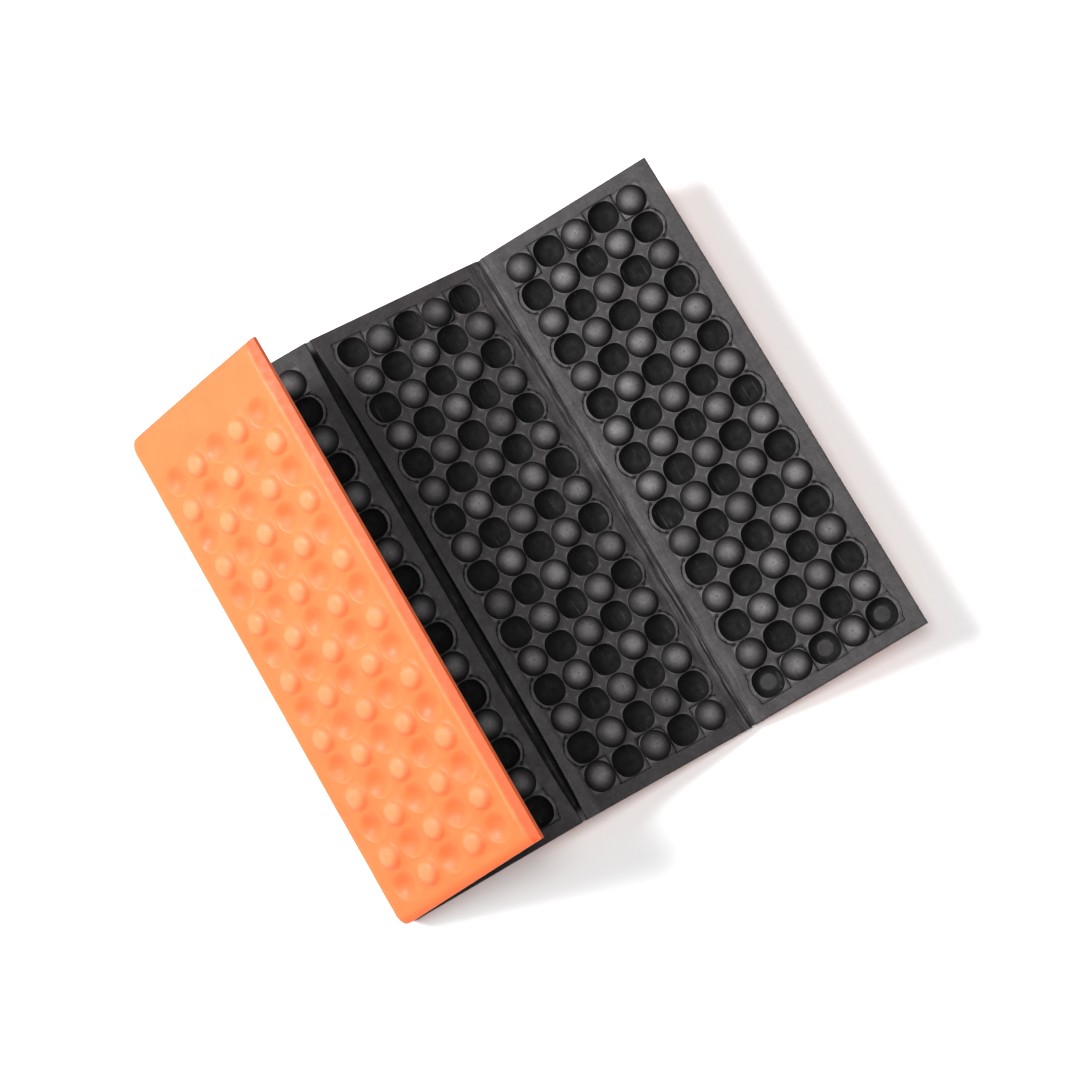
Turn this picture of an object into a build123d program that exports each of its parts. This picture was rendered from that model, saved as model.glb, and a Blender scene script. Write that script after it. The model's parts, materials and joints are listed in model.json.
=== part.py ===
"""Folding two-colour foam sit mat: four moulded panels joined by three living hinges.

Every panel is a black foam ply laminated on an orange one.  The moulded cells alternate:
a black dome stands over an orange dimple, and a black dimple lies over an orange bump.
Panels a, b, c and d lie left to right when the mat is open.  All lengths are millimetres.
Written in a panel frame first (u across, v along the creases, w towards the black side),
then laid at the part-folded rest pose in the row frame (X across, Y along, Z up).
"""
from build123d import *
import math
import os

# ---- driving dimensions -------------------------------------------------------------
PANEL_WIDTH = 97.5          # crease to crease, or crease to free edge
PANEL_LENGTH = 270.0        # along the creases
PLY = 2.5                   # thickness of each flat ply
CELL_PITCH = 16.0           # between cell centres, both ways
COLUMNS = 5
ROWS = 16

DOME_RADIUS = 7.4           # black dome: radius where it meets the flat, and height
DOME_HEIGHT = 3.0
DIMPLE_RADIUS = 7.75        # black dimple: mouth radius and depth, clear of a nested dome
DIMPLE_DEPTH = 3.6
BUMP_RADIUS = 6.0           # orange bump below each black dimple
BUMP_HEIGHT = 3.0
POCKET_RADIUS = 6.5         # orange dimple below each black dome, clear of a nested bump
POCKET_DEPTH = 3.4

BOND_RADIUS = 7.0           # how the black ply's underside follows the cells
BOND_RISE = 3.0
BOND_DROP = 3.2
BOND_GAP = 0.1              # the bonded plies touch on the flats only

LABEL_DOME_HEIGHT = 2.4     # the end row of each outer panel is pressed flatter
LABEL_DIMPLE_DEPTH = 3.1
LABEL_BOND_DROP = 1.8

EDGE_BEVEL_WIDTH = 5.0      # the orange side rolls off towards every free edge
EDGE_BEVEL_RISE = 1.7
WEB_THICKNESS = 1.2         # foam left at a living hinge
SLIT_HALF_WIDTH = 1.0       # half of the slit over the web at creases ab and cd
GROOVE_HALF_WIDTH = 1.6     # half of the groove over the web at crease bc
HINGE_CLEARANCE = 0.05      # each half web stops this short of its hinge axis

RISE_B = 9.7                # rest pose: elevation of each panel's +u direction, degrees
RISE_C = -9.7
RISE_D = 14.7
RISE_A = 223.0              # panel a is folded back over panel b

TOP = PLY                   # w of the black face
BOTTOM = -PLY               # w of the orange face
HALF_LENGTH = PANEL_LENGTH / 2
FIRST_CELL = (PANEL_WIDTH - (COLUMNS - 1) * CELL_PITCH) / 2
LAST_ROW = ROWS - 1
OVERSHOOT = 1.0             # how far a cutting tool passes a face


# ---- moulded cells ------------------------------------------------------------------
def cap(base_radius, height, flat_at=None):
    """A ball's cap standing on z = 0, cut level at flat_at when that is given."""
    ball_radius = (base_radius**2 + height**2) / (2 * height)
    top = height if flat_at is None else flat_at
    across = 2 * (base_radius + OVERSHOOT)
    window = Pos(0, 0, top / 2) * Box(across, across, top)
    return Pos(0, 0, height - ball_radius) * Sphere(ball_radius) & window


def turned_over(shape):
    return Rot(180, 0, 0) * shape


def cell_centres(first_dome, rows):
    """(u, v, is_dome) of each cell; first_dome is the parity of row 0, column 0."""
    for row in rows:
        for column in range(COLUMNS):
            u = FIRST_CELL + column * CELL_PITCH
            v = ((ROWS - 1) / 2 - row) * CELL_PITCH
            yield u, v, (row + column) % 2 == (0 if first_dome else 1)


def spread(shape, centres, level):
    return [Pos(u, v, level) * shape for u, v in centres]


def cell_sets(first_dome, label_row):
    """Centres of plain domes and dimples, then of the flatter ones in the label row."""
    plain_rows = [row for row in range(ROWS) if row != label_row]
    label_rows = [] if label_row is None else [label_row]
    sets = []
    for rows in (plain_rows, label_rows):
        cells = list(cell_centres(first_dome, rows))
        sets.append([(u, v) for u, v, is_dome in cells if is_dome])
        sets.append([(u, v) for u, v, is_dome in cells if not is_dome])
    return sets


# ---- plies --------------------------------------------------------------------------
def slab(low_w, high_w, left_u, right_u):
    width = right_u - left_u
    height = high_w - low_w
    centre = Pos((left_u + right_u) / 2, 0, (low_w + high_w) / 2)
    return centre * Box(width, PANEL_LENGTH, height)


def bevel_tool(length):
    """A prism along +Y that rolls the orange side off towards an edge at x = 0."""
    corners = [
        (-OVERSHOOT, BOTTOM - OVERSHOOT),
        (EDGE_BEVEL_WIDTH, BOTTOM - OVERSHOOT),
        (EDGE_BEVEL_WIDTH, BOTTOM),
        (0, BOTTOM + EDGE_BEVEL_RISE),
        (-OVERSHOOT, BOTTOM + EDGE_BEVEL_RISE),
    ]
    outline = Polyline(*corners, close=True)
    return extrude(Plane.XZ * make_face(outline), amount=length / 2, both=True)


def edge_bevels(free_left, free_right):
    along = bevel_tool(PANEL_LENGTH + 2 * OVERSHOOT)
    across = bevel_tool(PANEL_WIDTH + 2 * OVERSHOOT)
    middle = PANEL_WIDTH / 2
    tools = [
        Pos(middle, -HALF_LENGTH, 0) * Rot(0, 0, 90) * across,
        Pos(middle, HALF_LENGTH, 0) * Rot(0, 0, -90) * across,
    ]
    if free_left:
        tools.append(along)
    if free_right:
        tools.append(Pos(PANEL_WIDTH, 0, 0) * Rot(0, 0, 180) * along)
    return tools


def black_ply(first_dome, label_row, left_u, right_u):
    domes, dimples, label_domes, label_dimples = cell_sets(first_dome, label_row)
    label_dome = cap(DOME_RADIUS, DOME_HEIGHT, LABEL_DOME_HEIGHT)
    bulge = turned_over(cap(BOND_RADIUS, BOND_DROP))
    label_bulge = turned_over(cap(BOND_RADIUS, LABEL_BOND_DROP))
    dimple = turned_over(cap(DIMPLE_RADIUS, DIMPLE_DEPTH))
    label_dimple = turned_over(cap(DIMPLE_RADIUS, DIMPLE_DEPTH, LABEL_DIMPLE_DEPTH))
    hollow = cap(BOND_RADIUS, BOND_RISE)
    added = (
        spread(cap(DOME_RADIUS, DOME_HEIGHT), domes, TOP)
        + spread(label_dome, label_domes, TOP)
        + spread(bulge, dimples, 0)
        + spread(label_bulge, label_dimples, 0)
    )
    removed = (
        spread(dimple, dimples, TOP)
        + spread(label_dimple, label_dimples, TOP)
        + spread(hollow, domes, 0)
    )
    return slab(0, TOP, left_u, right_u) + added - removed


def orange_ply(first_dome, label_row, left_u, right_u, free_left, free_right):
    domes, dimples, _, label_dimples = cell_sets(first_dome, label_row)
    hill = cap(BOND_RADIUS - BOND_GAP, BOND_RISE - BOND_GAP)
    bump = turned_over(cap(BUMP_RADIUS, BUMP_HEIGHT))
    hollow = turned_over(cap(BOND_RADIUS + BOND_GAP, BOND_DROP + BOND_GAP))
    label_hollow = turned_over(cap(BOND_RADIUS + BOND_GAP, LABEL_BOND_DROP + BOND_GAP))
    pocket = cap(POCKET_RADIUS, POCKET_DEPTH)
    added = spread(hill, domes, 0) + spread(bump, dimples, BOTTOM)
    removed = (
        spread(hollow, dimples, 0)
        + spread(label_hollow, label_dimples, 0)
        + spread(pocket, domes, BOTTOM)
        + edge_bevels(free_left, free_right)
    )
    return slab(BOTTOM, 0, left_u, right_u) + added - removed


# ---- panels -------------------------------------------------------------------------
def half_web(black_side, at_left, half_width):
    """The thin foam strip from a panel's wall to the middle of its crease."""
    low_w = TOP - WEB_THICKNESS if black_side else BOTTOM
    near_u, far_u = HINGE_CLEARANCE, half_width
    if not at_left:
        near_u, far_u = PANEL_WIDTH - half_width, PANEL_WIDTH - HINGE_CLEARANCE
    return slab(low_w, low_w + WEB_THICKNESS, near_u, far_u)


def panel(first_dome, label_row, left_crease, right_crease):
    """Both plies and the half webs; a crease is (web_on_black_side, half_width) or None."""
    left_u = left_crease[1] if left_crease else 0
    right_u = PANEL_WIDTH - (right_crease[1] if right_crease else 0)
    free_left = left_crease is None
    free_right = right_crease is None
    pieces = {
        "black": black_ply(first_dome, label_row, left_u, right_u),
        "orange": orange_ply(first_dome, label_row, left_u, right_u, free_left, free_right),
    }
    if left_crease:
        pieces["left_web"] = half_web(left_crease[0], True, left_crease[1])
    if right_crease:
        pieces["right_web"] = half_web(right_crease[0], False, right_crease[1])
    return pieces


# ---- rest pose ----------------------------------------------------------------------
def direction(elevation):
    return Vector(math.cos(math.radians(elevation)), 0, math.sin(math.radians(elevation)))


def placement(hinge, elevation, hinge_u, hinge_w):
    """Puts a panel's (hinge_u, hinge_w) line on the hinge axis, its +u at the elevation."""
    return Pos(hinge.X, 0, hinge.Z) * Rot(0, -elevation, 0) * Pos(-hinge_u, 0, -hinge_w)


AXIS_AB = Vector(0, 0, 0)
AXIS_BC = AXIS_AB + direction(RISE_B) * PANEL_WIDTH - direction(RISE_B + 90) * 2 * PLY
AXIS_CD = AXIS_BC + direction(RISE_C) * PANEL_WIDTH + direction(RISE_C + 90) * 2 * PLY

BLACK_WEB = (True, SLIT_HALF_WIDTH)
ORANGE_WEB = (False, GROOVE_HALF_WIDTH)
PANELS = {
    "a": (panel(False, 0, None, BLACK_WEB), placement(AXIS_AB, RISE_A, PANEL_WIDTH, TOP)),
    "b": (panel(True, None, BLACK_WEB, ORANGE_WEB), placement(AXIS_AB, RISE_B, 0, TOP)),
    "c": (panel(False, None, ORANGE_WEB, BLACK_WEB), placement(AXIS_BC, RISE_C, 0, BOTTOM)),
    "d": (panel(True, LAST_ROW, BLACK_WEB, None), placement(AXIS_CD, RISE_D, 0, TOP)),
}
NODE_NAMES = {
    ("a", "black"): "panel_a_black_foam",
    ("a", "orange"): "panel_a_orange_foam",
    ("a", "right_web"): "crease_ab_web_on_a",
    ("b", "black"): "panel_b_black_foam",
    ("b", "orange"): "panel_b_orange_foam",
    ("b", "left_web"): "crease_ab_web_on_b",
    ("b", "right_web"): "crease_bc_web_on_b",
    ("c", "black"): "panel_c_black_foam",
    ("c", "orange"): "panel_c_orange_foam",
    ("c", "left_web"): "crease_bc_web_on_c",
    ("c", "right_web"): "crease_cd_web_on_c",
    ("d", "black"): "panel_d_black_foam",
    ("d", "orange"): "panel_d_orange_foam",
    ("d", "left_web"): "crease_cd_web_on_d",
}
COLOURS = {"black": Color(0.08, 0.08, 0.09), "orange": Color(1.0, 0.48, 0.25)}

nodes = {}
for (panel_key, piece_key), node_name in NODE_NAMES.items():
    pieces, place = PANELS[panel_key]
    solid = (place * pieces[piece_key]).solids()[0]
    on_orange = piece_key == "orange" or node_name.startswith("crease_bc")
    solid.color = COLOURS["orange" if on_orange else "black"]
    solid.label = node_name
    nodes[node_name] = solid

# The row's origin is the middle of the bounding box's bottom face.
box = Compound(list(nodes.values())).bounding_box()
to_row_frame = Pos(-(box.min.X + box.max.X) / 2, -(box.min.Y + box.max.Y) / 2, -box.min.Z)

os.makedirs("parts", exist_ok=True)
for node_name, solid in nodes.items():
    export_step(to_row_frame * solid, f"parts/{node_name}.step")

shift = to_row_frame.position
for name, axis in (("ab", AXIS_AB), ("bc", AXIS_BC), ("cd", AXIS_CD)):
    print(f"crease {name}: x {axis.X + shift.X:.4f}, z {axis.Z + shift.Z:.4f} mm")
print(f"size {box.size.X:.3f} x {box.size.Y:.3f} x {box.size.Z:.3f} mm")
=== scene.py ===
"""Looks of a folding two-colour foam sit mat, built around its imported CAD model.

Each panel's black ply and orange ply is one closed mesh, made in the panel's own flat frame
(u across, v along the creases, w towards the black side, millimetres) and then laid on the
CAD panel.  The creases are thin strips that bend across their joint.
"""
import json
import math

import bpy
import numpy as np
from mathutils import Euler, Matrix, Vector


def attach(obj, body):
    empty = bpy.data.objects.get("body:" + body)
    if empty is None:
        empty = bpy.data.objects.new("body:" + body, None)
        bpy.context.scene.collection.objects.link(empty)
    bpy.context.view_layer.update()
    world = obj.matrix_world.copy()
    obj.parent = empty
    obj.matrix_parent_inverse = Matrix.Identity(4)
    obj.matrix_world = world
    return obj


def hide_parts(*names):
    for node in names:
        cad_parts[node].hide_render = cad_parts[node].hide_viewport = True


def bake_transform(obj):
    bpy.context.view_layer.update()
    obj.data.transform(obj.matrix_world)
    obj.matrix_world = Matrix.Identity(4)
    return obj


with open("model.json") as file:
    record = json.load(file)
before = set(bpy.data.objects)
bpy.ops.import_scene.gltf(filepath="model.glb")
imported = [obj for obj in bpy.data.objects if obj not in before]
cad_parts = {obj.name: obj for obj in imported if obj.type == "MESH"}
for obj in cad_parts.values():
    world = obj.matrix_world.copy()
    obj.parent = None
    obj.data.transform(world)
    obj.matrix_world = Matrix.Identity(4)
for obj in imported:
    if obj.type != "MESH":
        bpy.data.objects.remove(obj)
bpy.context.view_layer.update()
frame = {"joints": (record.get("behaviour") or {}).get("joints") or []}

# ---- sizes, in millimetres --------------------------------------------------------------
MM = 0.001
PANEL_WIDTH = 97.5
PANEL_LENGTH = 270.0
PLY = 2.5
TOP, BOTTOM = PLY, -PLY         # the black face and the orange face
HALF_LENGTH = PANEL_LENGTH / 2
PITCH = 16.0
HALF_CELL = PITCH / 2
COLUMNS = 5
ROWS = 16
HALF_FIELD = ROWS * HALF_CELL
SIDE_MARGIN = (PANEL_WIDTH - COLUMNS * PITCH) / 2
END_MARGIN = HALF_LENGTH - HALF_FIELD
STEPS = 12                      # boundary steps along each side of a cell
RAYS = 4 * STEPS

SLIT_HALF = 1.0
GROOVE_HALF_MIDDLE = 2.3
GROOVE_HALF_END = 0.5
GROOVE_END = 6.0                # the groove starts this far from the panel's ends
GROOVE_SHARES = {"black face": 1.0, "bond": 0.85, "orange face": 0.3}   # how far each opens
GROOVE_FADE = 5.0               # the groove's shape dies away over this much of the border
STRIP_END = 0.4                 # a crease strip stops this short of the panels' ends
STRIP_LINES_ACROSS = 13
STRIP_LINES_ALONG = 181
STRIP_SAG = 0.12                # its top sinks along the middle, and its underside rises half as much
STRIP_WRINKLE = 0.1

DOME_RADIUS = 7.72
DOME_HEIGHT = 3.3
DOME_SHRINK = 0.14              # domes are up to this much smaller
DOME_LEAN = 0.12                # and lean to one side by up to this much
DOME_FULLNESS = 1.05            # 1 would be an ellipsoid
LABEL_DOME_HEIGHT = 2.5
LABEL_DOME_WAVE = 0.12
PINHOLE_DEPTH = 0.2
WELL_RADIUS = 7.76              # at the middle of a side; the mouth bulges at its diagonals
WELL_BULGE = 0.35
WELL_DEPTH = 4.7
WELL_FLATNESS = 3.2             # higher powers give a flatter floor
WELL_STEEPNESS = 0.62           # lower powers give steeper walls
WELL_SWAY = 0.25                # wells are a little uneven
MOUTH_WAVE = 0.05
LABEL_WELL_DEPTH = 3.3
LABEL_MOAT_DEPTH = 0.7          # the ring round a label well's raised floor is this much deeper
RAISED_FLOOR_SHARE = 0.5        # of the well's radius
SPREAD = 0.05                   # of dome heights and well depths, as a share
BUMP_RADIUS = 6.9
BUMP_HEIGHT = 2.85
POCKET_RADIUS = 7.9
POCKET_DEPTH = 2.4
GROOVE_POCKET_DEPTH = 1.3 * POCKET_DEPTH        # beside crease bc, where the bumps nest deeper
BUMP_BELL, POCKET_BELL, WIDE_BELL = 2.5, 1.3, 1.8       # higher powers give a broader top
BOWL_SHARE = 0.3                # how much of a bell is a plain bowl
BELL_LEAN = 0.15
BELL_SPREAD = 0.08              # bumps and pockets are up to this share smaller
LABEL_SWELL = 0.12
RIDGE_HEIGHT = 0.32             # the crescent on one side of a pocket's rim, drawn lighter there as a painted highlight
RIDGE_TURN = 300                # degrees; the side it is on

BOND_RADIUS_DOME = 6.9          # the bonded surface between the plies, under a dome or a well
BOND_RADIUS_WELL = 7.4
BOND_RISE = 2.7
BOND_DROP = 3.3
LABEL_BOND_DROP = 1.9
BOND_GAP = 0.06                 # keeps the two plies' surfaces apart
BOND_TURN = (2.6, 0.7)          # it turns up or down between these distances from an edge
BOND_AT_FREE_EDGE = -0.25       # the black ply wraps down the cut edges
BOND_AT_FREE_EDGE_A = 1.7       # but on panel a the orange one does
BOND_AT_SLIT = 1.1              # the orange ply comes up at a slit
BOND_AT_GROOVE = -1.5           # and wraps down the walls of the bc groove
WRAP_INSET = 0.3                # the ply that is wrapped over stops this short of the edge
WRAP_FADE = 1.5                 # and is drawn in over this much of its border

OUTLINE_DEPTH = 0.5             # the fine step around the moulded field, its groove drawn dark as painted shade
OUTLINE_WIDTH = 0.45
OUTLINE_RINGS = (0.62, 0.34, 0.06)      # insets of a cell's last flat rings
SQUARE_CORNER = 0.3             # radii of the outline's corners
FIELD_CORNER = 0.6
FACING_CORNER = 5.0             # of an end row's dome, where it faces the field
DOME_RING_STEP = 0.02           # at least this much between a cell's last rings
WELL_RING_STEP = 0.015
OUTLINE_ARC = 9.7               # radius of the outline round a well on the long borders
OUTLINE_ARC_HALF = 0.3          # half its width
OUTLINE_TURN = PITCH / 3        # that arc crosses the cell's sides this far from their middle
BULGE_FADE = 4.0                # the border's mesh lines follow that arc over this distance

BEND_A = 0.8                    # panels a and d bend away from the black side
BEND_D = 0.25
FREE_EDGE_WAVE = 0.35           # of panel d
PANEL_WAVE = 0.2                # of panels b and c

BEVEL_WIDTH = 5.0               # of the orange face along a free edge
BEVEL_RISE = 1.9
END_ROLL_WIDTH = 4.6            # the short ends only roll off
END_ROLL_RISE = 1.5
SLIT_ROLL_WIDTH = 2.6           # and so does the orange face beside a slit
SLIT_ROLL_RISE = 1.1
CORNER_RADIUS = 6.5             # of the mat's outer corners at crease ab
PINCH_FADE = 9.0                # their effect ends this far from the panel's ends
CUT_EDGE_ROLL = 0.35            # the black face's cut edges are rounded by this much
GROOVE_EDGE_ROLL = 0.2
CUT_EDGE_WIDTH = 0.6
BAND_WIDTH = 7.0                # the wrinkled band beside a slit
BAND_DEPTH = 0.1
FAINT_BAND = 0.35               # on panel d it is this much weaker
STREAK_DEPTH = 0.3              # its streaks only go down
STREAK_LIMIT = 0.3
RIPPLE_HEIGHT = 0.07            # the black face's faint unevenness
RIPPLE_FADE = 24.0              # it dies away and sinks this close to a slit
GRAIN_HEIGHT = 0.018
BEVEL_WAVE = 0.35
LIP_HEIGHT = 0.28               # the raised line along the bevel's inner edge, drawn lighter as a painted highlight
LIP_WIDTH = 0.6
SWELL_HEIGHT = 0.12             # the orange face's unevenness
FINE_SWELL_HEIGHT = 0.05
SWELL_FADE = 16.0               # it dies away this close to the groove
LIFT_AT_GROOVE = 0.3            # where the orange face draws back a little
WALL_SHADE_EDGE = 0.35                # the groove's walls are drawn dark with painted shade up to this far from its edge
SHARP_ANGLE = 50                # degrees; sharper edges of a mesh are shaded as edges
CLOSE = 0.1                     # for telling mesh lines apart
FAR = 99.0

# Distances from a panel's edge at which the border has mesh lines.
FREE_LINES = [0, 0.3, 0.9, 1.7, 2.7, 3.7, 4.6, 5.0, 5.5, 6.2, 7.0, 7.8, 8.4]
CREASE_LINES = [0, 0.4, 0.8, 1.2, 1.6, 2.0, 2.4, 2.8, 3.2, 3.7, 4.2, 4.8, 5.4, 6.0, 6.6, 7.3]
END_LINES = [0, 0.3, 0.9, 1.7, 2.7, 3.7, 4.5, 4.9, 5.4, 6.0, 6.6]
SMALLEST_STEP = 0.15

# Where a cell has rings: angles up a dome, shares of a well's or a bell's radius.
DOME_TURNS = (3, 11, 20, 30, 40, 50, 60, 69, 77, 84, 90)
BOND_TURNS = (25, 50, 72, 90)
WELL_SHARES = (0.16, 0.32, 0.48, 0.62, 0.74, 0.84, 0.91, 0.96, 0.99)
BELL_SHARES = (0.12, 0.24, 0.36, 0.46, 0.55, 0.64, 0.73, 0.82, 0.91, 1.0)

# Tones, which the materials read: how light the moulded skin is drawn. Low tones are painted shade in
# wells, down dome sides and in the outline; high tones are painted highlights on dome crowns and bump
# tops.
WELL_SHADE, RIM_SHADE, POCKET_SHADE, LABEL_FLOOR, WEB, CROWN_HIGHLIGHT = 0.0, 0.2, 0.4, 0.42, 0.5, 1.0
# painted highlight on one side of a pocket's rim
RIDGE_HIGHLIGHT_TONE = 0.4
# painted highlight along the bevel's lip
LIP_HIGHLIGHT_TONE = 0.4
WRINKLE_TONE = 0.25             # along a crease strip
STRIP_TONE = 0.4
GROOVE_FLOOR_LINE_TONE = 0.32           # along the middle of the groove's floor, where its painted shade is lighter towards the low end of v
BEVEL_SHADE_TONE = 0.4                # painted shade: bevels and rolled ends, which face away from the light, are darker by this much
END_ROLL_SHADE_TONE = 0.15
STREAK_TONE = 0.3
GROOVE_SIDE_TONE = 0.13                # panel c is lighter by this much beside the groove, more towards the low end of v
BORDER_TONE = 0.06              # panel d's border is lighter, most of all at its crease
BORDER_TONE_AT_CREASE = 0.09
PINHOLE_CHANCE = 0.3
CROWN_SPREAD = 0.28             # some domes' painted highlight is duller by up to this share
CROWN_FOCUS = 3.6               # higher powers give a smaller painted highlight on the crown

# Fine rings at a dome's foot and a well's mouth: how far out, height and tone. The dark rings are
# painted shade and the light rings just outside them painted highlights.
DOME_FOOT = ((0.07, -0.25, WELL_SHADE), (0.15, 0.07, WEB + 0.3))
DOME_FOOT_END = 0.18
WELL_LIP = ((0.0, -0.14, WEB - 0.2), (0.1, 0.04, WEB + 0.2))
WELL_LIP_END = 0.13


# ---- smooth repeatable noise ------------------------------------------------------------
def hashed(i, j, seed):
    """A number from 0 to 1 for each lattice point."""
    value = np.sin(i * 127.1 + j * 311.7 + seed * 74.7) * 43758.5453
    return value - np.floor(value)


def noise(x, y, seed):
    """Smooth value noise from -1 to 1, one lattice step per unit."""
    i, j = np.floor(x), np.floor(y)
    fx, fy = x - i, y - j
    sx, sy = fx * fx * (3 - 2 * fx), fy * fy * (3 - 2 * fy)
    low = hashed(i, j, seed) * (1 - sx) + hashed(i + 1, j, seed) * sx
    high = hashed(i, j + 1, seed) * (1 - sx) + hashed(i + 1, j + 1, seed) * sx
    return 2 * (low * (1 - sy) + high * sy) - 1


def smooth_step(value, start, end):
    t = np.clip((value - start) / (end - start), 0, 1)
    return t * t * (3 - 2 * t)


# ---- panels -----------------------------------------------------------------------------
JOINTS = {joint["name"]: joint for joint in frame["joints"]}


class Panel:
    """One panel: where its flat frame lies, which cells are domes, and how its edges end."""

    def __init__(self, key, rise, hinge, hinge_u, hinge_w, first_dome, label_row=None):
        self.key = key
        self.body = f"panel_{key}"
        self.across = np.array([math.cos(rise), 0, math.sin(rise)])
        self.normal = np.array([-math.sin(rise), 0, math.cos(rise)])
        self.hinge = np.array(hinge) / MM
        self.hinge_u, self.hinge_w = hinge_u, hinge_w
        self.first_dome, self.label_row = first_dome, label_row
        self.seed = 10 * ("abcd".index(key) + 1)

    def is_dome(self, row, column):
        return (row + column) % 2 == (0 if self.first_dome else 1)

    def warp(self, u, v):
        """How far the whole sheet leaves its plane, towards the black side."""
        along = v / PANEL_LENGTH
        middle = np.sin(np.pi * u / PANEL_WIDTH)
        if self.key == "a":
            return -BEND_A * middle
        if self.key == "d":
            free = np.clip(u / PANEL_WIDTH, 0, 1) ** 2
            wave = noise(along * 6 + 3, u * 0 + 1, self.seed)
            return FREE_EDGE_WAVE * free * wave - BEND_D * middle
        return PANEL_WAVE * middle * noise(along * 5, u * 0, self.seed)

    def pinched(self, u, v):
        """The place along the crease, drawn in round the two corners at crease ab."""
        if self.key not in "ab":
            return v
        from_crease = PANEL_WIDTH - u if self.key == "a" else u
        into_corner = np.clip(CORNER_RADIUS - from_crease, 0, CORNER_RADIUS)
        cut = CORNER_RADIUS - np.sqrt(CORNER_RADIUS**2 - into_corner**2)
        fade = np.clip((np.abs(v) - HALF_LENGTH + PINCH_FADE) / PINCH_FADE, 0, 1)
        return v - np.sign(v) * cut * fade

    def place(self, points):
        """Panel frame in millimetres to the row frame in metres."""
        u, v = points[:, 0], points[:, 1]
        w = points[:, 2] + self.warp(u, v)
        here = (
            self.hinge
            + np.outer(u - self.hinge_u, self.across)
            + np.outer(w - self.hinge_w, self.normal)
        )
        here[:, 1] += self.pinched(u, v)
        return here * MM


def build_frames():
    """Elevation of each panel from its joints: flat neighbours share one elevation."""
    ab, bc, cd = (JOINTS[f"crease_{name}_fold"] for name in ("ab", "bc", "cd"))
    step = Vector(bc["pos_m"]) - Vector(ab["pos_m"])
    rise_b = math.atan2(step.z, step.x) + math.atan2(TOP - BOTTOM, PANEL_WIDTH)
    rise_a = rise_b + math.radians(ab["range_deg"][0])
    rise_c = rise_b + math.radians(bc["range_deg"][0])
    rise_d = rise_c + math.radians(cd["range_deg"][1])
    return [
        Panel("a", rise_a, ab["pos_m"], PANEL_WIDTH, TOP, first_dome=False, label_row=0),
        Panel("b", rise_b, ab["pos_m"], 0, TOP, first_dome=True),
        Panel("c", rise_c, bc["pos_m"], 0, BOTTOM, first_dome=False),
        Panel("d", rise_d, cd["pos_m"], 0, TOP, first_dome=True, label_row=ROWS - 1),
    ]


PANELS = {panel.key: panel for panel in build_frames()}
LEFT_EDGE = {"a": "free", "b": "slit", "c": "groove", "d": "slit"}
RIGHT_EDGE = {"a": "slit", "b": "groove", "c": "slit", "d": "free"}
EDGE_INSET = {"free": 0.0, "slit": SLIT_HALF, "groove": GROOVE_HALF_END}


def border_lines(kind, margin):
    """Offsets from the panel's nominal edge, ending one outline width from the cells."""
    lines = {"free": FREE_LINES, "end": END_LINES}.get(kind, CREASE_LINES)
    inset = EDGE_INSET.get(kind, 0.0)
    room = margin - OUTLINE_WIDTH
    kept = [inset + d for d in lines if inset + d < room - SMALLEST_STEP]
    return kept + [room]


def grid_lines(panel):
    """Mesh lines across and along a panel, and where the cell field starts in each."""
    left = border_lines(LEFT_EDGE[panel.key], SIDE_MARGIN)
    right = [PANEL_WIDTH - d for d in border_lines(RIGHT_EDGE[panel.key], SIDE_MARGIN)]
    core_u = SIDE_MARGIN + np.arange(COLUMNS * STEPS + 1) * PITCH / STEPS
    end = border_lines("end", END_MARGIN)
    core_v = -HALF_FIELD + np.arange(ROWS * STEPS + 1) * PITCH / STEPS
    u = np.concatenate([left, core_u, right[::-1]])
    low_end = [-HALF_LENGTH + d for d in end]
    high_end = [HALF_LENGTH - d for d in end[::-1]]
    v = np.concatenate([low_end, core_v, high_end])
    return u, v, len(left), len(end)


# ---- rays and rings of a cell -----------------------------------------------------------
def square_boundary():
    """The cell's boundary points, anticlockwise from its lower right corner."""
    t = np.arange(STEPS) / STEPS * PITCH - HALF_CELL
    full = np.full(STEPS, HALF_CELL)
    x = np.concatenate([full, -t, -full, t])
    y = np.concatenate([t, full, -t, -full])
    return x, y


BOUNDARY_X, BOUNDARY_Y = square_boundary()
ANGLE = np.arctan2(BOUNDARY_Y, BOUNDARY_X)
DIAGONAL = (1 - np.cos(4 * ANGLE)) / 2          # 0 at the middle of a side, 1 at a corner
RIGHT, UP, LEFT, DOWN = range(4)                # the sides of a cell
SIDE_OF_RAY = (np.floor((np.degrees(ANGLE) + 45) / 90) % 4).astype(int)


def rounded_square(half, radii):
    """Radius along each ray of a square with its own radius at each corner (++, -+, --, +-)."""
    c, s = np.abs(np.cos(ANGLE)), np.abs(np.sin(ANGLE))
    quadrant = (np.floor(np.degrees(ANGLE) / 90) % 4).astype(int)
    corner = np.maximum(np.array(radii)[quadrant], 0.01)
    straight = half / np.maximum(c, s)
    centre = half - corner
    toward = centre * (c + s)
    inside = np.maximum(toward**2 - 2 * centre**2 + corner**2, 0)
    rounded = toward + np.sqrt(inside)
    in_corner = np.minimum(straight * c, straight * s) > centre
    return np.where(in_corner, np.minimum(rounded, straight), straight)


class Cell:
    """Rings of one moulded cell, from its middle outwards: radius, height and tone."""

    def __init__(self):
        self.radius, self.height, self.tone = [], [], []
        self.dark_edge = np.zeros(0, int)

    def ring(self, radius, height, tone):
        ones = np.ones(RAYS)
        self.radius.append(ones * radius)
        self.height.append(ones * height)
        self.tone.append(ones * tone)


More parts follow.
